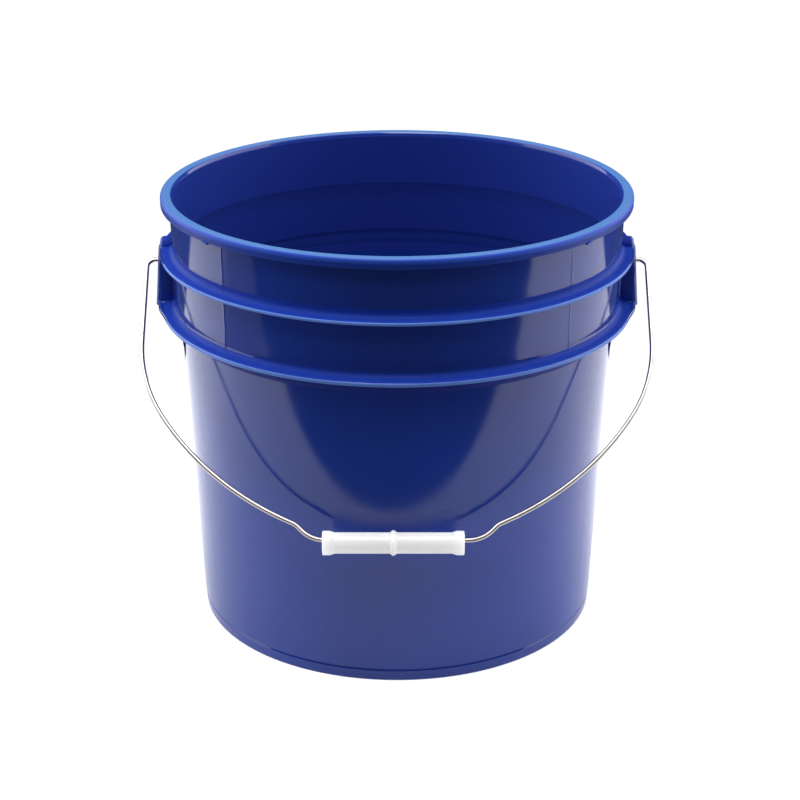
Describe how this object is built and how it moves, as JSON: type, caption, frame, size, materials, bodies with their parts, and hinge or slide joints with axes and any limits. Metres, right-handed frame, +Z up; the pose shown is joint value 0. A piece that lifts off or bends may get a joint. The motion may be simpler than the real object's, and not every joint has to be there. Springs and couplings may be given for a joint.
{
  "type": "wash bucket",
  "caption": "Round tapered plastic wash bucket with a rolled rim, flanged neck, side ears, and a swinging wire bail with a loose hand grip.",
  "frame": {"origin": "middle of the pail's foot, on the surface that it stands on", "axes": "+Z up along the pail's axis; +X through the two ears, along the bail's pivot; at rest the bail hangs to the front, towards -Y"},
  "size_m": [0.3258, 0.3049, 0.284],
  "materials": {
    "blue_plastic": "glossy injection-moulded polyethylene, faint scuffs and moulding lines",
    "bail_wire": "bright drawn steel wire with a thin zinc coat",
    "white_plastic": "slightly translucent natural white polyethylene, satin"
  },
  "bodies": {
    "pail": {"pail_body": "blue_plastic"},
    "bail": {"wire_bail": "bail_wire"},
    "grip": {"hand_grip": "white_plastic"}
  },
  "joints": [
    {"name": "bail_swing", "type": "hinge", "parent": "pail", "child": "bail", "pos_m": [0, 0, 0.2352], "axis": [-1, 0, 0], "range_deg": [0, 264.3]},
    {"name": "grip_spin", "type": "hinge", "parent": "bail", "child": "grip", "pos_m": [0, -0.14535, 0.10341], "axis": [1, 0, 0], "continuous": true}
  ]
}
